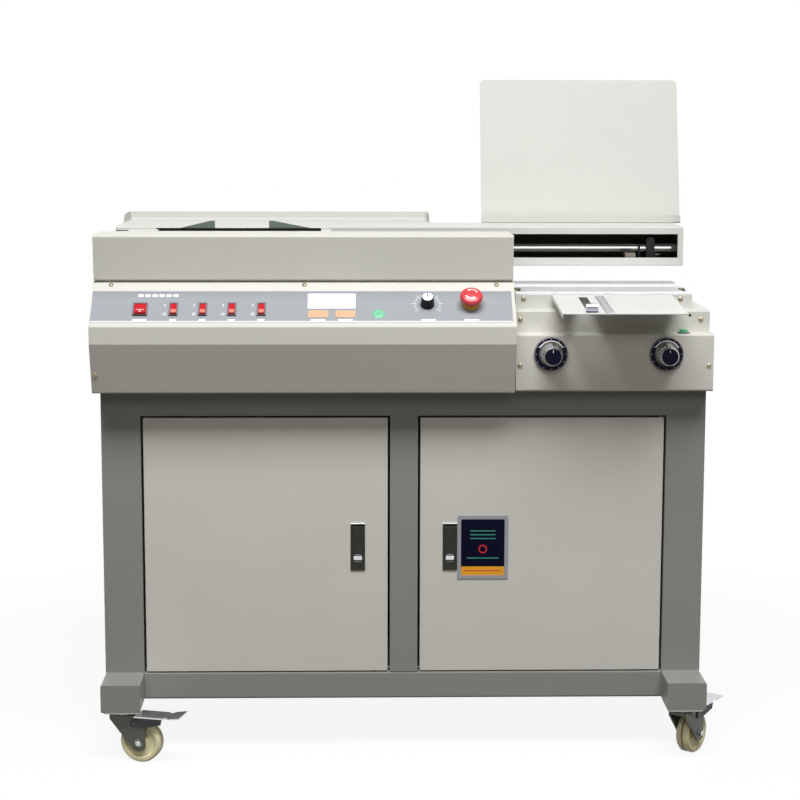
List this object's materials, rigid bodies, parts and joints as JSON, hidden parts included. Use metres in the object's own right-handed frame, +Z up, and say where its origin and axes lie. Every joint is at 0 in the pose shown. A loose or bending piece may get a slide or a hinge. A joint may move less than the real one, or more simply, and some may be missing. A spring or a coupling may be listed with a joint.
{
  "type": "hot melt binding machine",
  "caption": "Floor-standing hot melt book binding machine: casters, cabinet with doors, sloping control panel, hinged cover, travelling clamp, glue roller and nip station.",
  "frame": {"origin": "centre of the bounding box in X and Y, at floor level in Z", "axes": "+X to the operator's right along the clamp's travel, +Y from the operator to the back, +Z up"},
  "size_m": [1.1394, 0.63, 1.2144],
  "materials": {
    "cabinet_paint": "satin grey powder coat",
    "cream_paint": "satin cream powder coat",
    "door_paint": "satin beige powder coat",
    "panel_film": "matt printed film",
    "black_plastic": "fine matt",
    "latch_plastic": "satin dark grey",
    "yellow_plastic": "gloss",
    "red_plastic": "gloss",
    "green_plastic": "gloss",
    "navy_plastic": "satin",
    "chrome": "polished",
    "bright_steel": "ground and brushed",
    "zinc_steel": "zinc plated",
    "dark_steel": "black oxide",
    "fork_steel": "dark zinc",
    "motor_paint": "dark grey enamel",
    "belt_rubber": "matt",
    "aluminium": "machined",
    "wheel_nylon": "smooth cream nylon"
  },
  "bodies": {
    "machine": {"cabinet_frame": "cabinet_paint", "cabinet_panels": "cabinet_paint", "caster_plates": "zinc_steel", "lower_cover": "cream_paint", "panel_film": "panel_film", "panel_bezels": "black_plastic", "estop_collar": "yellow_plastic", "cover_hinge_rail": "zinc_steel", "rear_wall": "cream_paint", "guide_beam": "cream_paint", "guide_rod": "chrome", "rod_brackets": "dark_steel", "drive_belt": "belt_rubber", "drive_motors": "motor_paint", "rear_tray": "cream_paint", "paper_board": "cream_paint", "spine_plates": "bright_steel", "glue_tank": "aluminium", "nip_front_cover": "cream_paint", "nip_mid_cover": "cream_paint", "nip_bed": "cream_paint", "cover_table": "cream_paint", "cover_screws": "zinc_steel"},
    "carriage": {"clamp_carriage": "cream_paint", "clamp_fittings": "dark_steel"},
    "upper_cover": {"upper_cover": "cream_paint"},
    "front_clamp_jaw": {"clamp_jaw": "bright_steel"},
    "nip_jaw": {"nip_jaw": "bright_steel"},
    "nip_table": {"nip_table": "bright_steel"},
    "side_guide": {"side_guide": "chrome"},
    "position_knob_left": {"position_knob_left": "navy_plastic"},
    "position_knob_right": {"position_knob_right": "navy_plastic"},
    "start_button": {"start_button": "green_plastic"},
    "main_rocker": {"main_rocker": "red_plastic"},
    "speed_knob": {"speed_knob": "black_plastic"},
    "stop_button": {"estop_head": "red_plastic"},
    "glue_roller": {"glue_roller": "aluminium"},
    "milling_cutter": {"milling_cutter": "bright_steel"},
    "drive_pulley": {"drive_pulley": "aluminium"},
    "idler_pulley": {"idler_pulley": "aluminium"},
    "rocker_1": {"rocker_1": "red_plastic"},
    "rocker_2": {"rocker_2": "red_plastic"},
    "rocker_3": {"rocker_3": "red_plastic"},
    "rocker_4": {"rocker_4": "red_plastic"},
    "left_door": {"left_door": "door_paint"},
    "left_latch_handle": {"left_latch_handle": "latch_plastic"},
    "left_latch_button": {"left_latch_button": "chrome"},
    "right_door": {"right_door": "door_paint"},
    "right_latch_handle": {"right_latch_handle": "latch_plastic"},
    "right_latch_button": {"right_latch_button": "chrome"},
    "caster_fork_front_left": {"caster_fork_front_left": "fork_steel"},
    "caster_wheel_front_left": {"caster_wheel_front_left": "wheel_nylon"},
    "brake_pedal_front_left": {"brake_pedal_front_left": "fork_steel"},
    "caster_fork_front_right": {"caster_fork_front_right": "fork_steel"},
    "caster_wheel_front_right": {"caster_wheel_front_right": "wheel_nylon"},
    "brake_pedal_front_right": {"brake_pedal_front_right": "fork_steel"},
    "caster_fork_rear_left": {"caster_fork_rear_left": "fork_steel"},
    "caster_wheel_rear_left": {"caster_wheel_rear_left": "wheel_nylon"},
    "caster_fork_rear_right": {"caster_fork_rear_right": "fork_steel"},
    "caster_wheel_rear_right": {"caster_wheel_rear_right": "wheel_nylon"}
  },
  "joints": [
    {"name": "cover_hinge", "type": "hinge", "parent": "machine", "child": "upper_cover", "pos_m": [-0.19971, -0.063, 0.9365], "axis": [-1, 0, 0], "range_deg": [0, 70]},
    {"name": "carriage_slide", "type": "slide", "parent": "machine", "child": "carriage", "axis": [1, 0, 0], "range_m": [0, 0.638]},
    {"name": "front_jaw_slide", "type": "slide", "parent": "carriage", "child": "front_clamp_jaw", "axis": [0, 1, 0], "range_m": [-0.022, 0.0155]},
    {"name": "nip_jaw_slide", "type": "slide", "parent": "machine", "child": "nip_jaw", "axis": [0, 1, 0], "range_m": [0, 0.0335]},
    {"name": "nip_table_lift", "type": "slide", "parent": "machine", "child": "nip_table", "axis": [0, 0, 1], "range_m": [-0.015, 0]},
    {"name": "side_guide_slide", "type": "slide", "parent": "machine", "child": "side_guide", "axis": [0, 0.9971, 0.0763], "range_m": [0, 0.125]},
    {"name": "left_position_turn", "type": "hinge", "parent": "machine", "child": "position_knob_left", "pos_m": [0.23529, -0.21, 0.734], "axis": [0, -1, 0], "range_deg": [-150, 150]},
    {"name": "right_position_turn", "type": "hinge", "parent": "machine", "child": "position_knob_right", "pos_m": [0.43929, -0.21, 0.734], "axis": [0, -1, 0], "range_deg": [-150, 150]},
    {"name": "start_press", "type": "slide", "parent": "machine", "child": "start_button", "axis": [0, 0, -1], "range_m": [0, 0.003], "stiffness_N_per_m": 400, "springref_m": -0.003},
    {"name": "main_rocker_tilt", "type": "hinge", "parent": "machine", "child": "main_rocker", "pos_m": [-0.48301, -0.22121, 0.813], "axis": [1, 0, 0], "range_deg": [0, 16]},
    {"name": "rocker_1_tilt", "type": "hinge", "parent": "machine", "child": "rocker_1", "pos_m": [-0.42531, -0.22121, 0.813], "axis": [1, 0, 0], "range_deg": [0, 16]},
    {"name": "rocker_2_tilt", "type": "hinge", "parent": "machine", "child": "rocker_2", "pos_m": [-0.37451, -0.22121, 0.813], "axis": [1, 0, 0], "range_deg": [0, 16]},
    {"name": "rocker_3_tilt", "type": "hinge", "parent": "machine", "child": "rocker_3", "pos_m": [-0.32381, -0.22121, 0.813], "axis": [1, 0, 0], "range_deg": [0, 16]},
    {"name": "rocker_4_tilt", "type": "hinge", "parent": "machine", "child": "rocker_4", "pos_m": [-0.27241, -0.22121, 0.813], "axis": [1, 0, 0], "range_deg": [0, 16]},
    {"name": "speed_turn", "type": "hinge", "parent": "machine", "child": "speed_knob", "pos_m": [0.01749, -0.21231, 0.82137], "axis": [0, -0.6546, 0.756], "range_deg": [-150, 150]},
    {"name": "stop_press", "type": "slide", "parent": "machine", "child": "stop_button", "axis": [0, 0.6546, -0.756], "range_m": [0, 0.004], "stiffness_N_per_m": 800, "springref_m": -0.003},
    {"name": "glue_roller_spin", "type": "hinge", "parent": "machine", "child": "glue_roller", "pos_m": [0.05329, 0.006, 0.812], "axis": [0, 1, 0], "continuous": true},
    {"name": "cutter_spin", "type": "hinge", "parent": "machine", "child": "milling_cutter", "pos_m": [-0.09671, 0.006, 0.822], "axis": [0, 0, 1], "continuous": true},
    {"name": "drive_pulley_spin", "type": "hinge", "parent": "machine", "child": "drive_pulley", "pos_m": [-0.52671, 0.115, 0.888], "axis": [0, 0, 1], "continuous": true},
    {"name": "idler_pulley_spin", "type": "hinge", "parent": "machine", "child": "idler_pulley", "pos_m": [0.46629, 0.115, 0.888], "axis": [0, 0, 1], "continuous": true},
    {"name": "left_door_hinge", "type": "hinge", "parent": "machine", "child": "left_door", "pos_m": [-0.48171, -0.163, 0.3815], "axis": [0, 0, -1], "range_deg": [0, 105]},
    {"name": "left_latch_turn", "type": "hinge", "parent": "left_door", "child": "left_latch_handle", "pos_m": [-0.10471, -0.169, 0.414], "axis": [-1, 0, 0], "range_deg": [0, 30]},
    {"name": "left_latch_press", "type": "slide", "parent": "left_door", "child": "left_latch_button", "axis": [0, 1, 0], "range_m": [0, 0.003], "stiffness_N_per_m": 300, "springref_m": -0.003},
    {"name": "right_door_hinge", "type": "hinge", "parent": "machine", "child": "right_door", "pos_m": [0.43829, -0.163, 0.3815], "axis": [0, 0, 1], "range_deg": [0, 105]},
    {"name": "right_latch_turn", "type": "hinge", "parent": "right_door", "child": "right_latch_handle", "pos_m": [0.06129, -0.169, 0.414], "axis": [-1, 0, 0], "range_deg": [0, 30]},
    {"name": "right_latch_press", "type": "slide", "parent": "right_door", "child": "right_latch_button", "axis": [0, 1, 0], "range_m": [0, 0.003], "stiffness_N_per_m": 300, "springref_m": -0.003},
    {"name": "front_left_swivel", "type": "hinge", "parent": "machine", "child": "caster_fork_front_left", "pos_m": [-0.52571, -0.215, 0.0867], "axis": [0, 0, 1], "continuous": true},
    {"name": "front_left_roll", "type": "hinge", "parent": "caster_fork_front_left", "child": "caster_wheel_front_left", "pos_m": [-0.4919, -0.22406, 0.0375], "axis": [0.2588, 0.9659, 0], "continuous": true},
    {"name": "front_left_brake", "type": "hinge", "parent": "caster_fork_front_left", "child": "brake_pedal_front_left", "pos_m": [-0.49963, -0.22199, 0.074], "axis": [0.2588, 0.9659, 0], "range_deg": [0, 10]},
    {"name": "front_right_swivel", "type": "hinge", "parent": "machine", "child": "caster_fork_front_right", "pos_m": [0.48229, -0.215, 0.0867], "axis": [0, 0, 1], "continuous": true},
    {"name": "front_right_roll", "type": "hinge", "parent": "caster_fork_front_right", "child": "caster_wheel_front_right", "pos_m": [0.50336, -0.18705, 0.0375], "axis": [-0.7986, 0.6018, 0], "continuous": true},
    {"name": "front_right_brake", "type": "hinge", "parent": "caster_fork_front_right", "child": "brake_pedal_front_right", "pos_m": [0.49854, -0.19344, 0.074], "axis": [-0.7986, 0.6018, 0], "range_deg": [0, 10]},
    {"name": "rear_left_swivel", "type": "hinge", "parent": "machine", "child": "caster_fork_rear_left", "pos_m": [-0.52571, 0.27, 0.0867], "axis": [0, 0, 1], "continuous": true},
    {"name": "rear_left_roll", "type": "hinge", "parent": "caster_fork_rear_left", "child": "caster_wheel_rear_left", "pos_m": [-0.49539, 0.2525, 0.0375], "axis": [0.5, 0.866, 0], "continuous": true},
    {"name": "rear_right_swivel", "type": "hinge", "parent": "machine", "child": "caster_fork_rear_right", "pos_m": [0.48229, 0.27, 0.0867], "axis": [0, 0, 1], "continuous": true},
    {"name": "rear_right_roll", "type": "hinge", "parent": "caster_fork_rear_right", "child": "caster_wheel_rear_right", "pos_m": [0.4494, 0.28197, 0.0375], "axis": [-0.342, -0.9397, 0], "continuous": true}
  ],
  "couplings": [
    {"joint": "drive_pulley_spin", "follows": "carriage_slide", "rad_per_m": 63.492},
    {"joint": "idler_pulley_spin", "follows": "carriage_slide", "rad_per_m": 63.492}
  ]
}
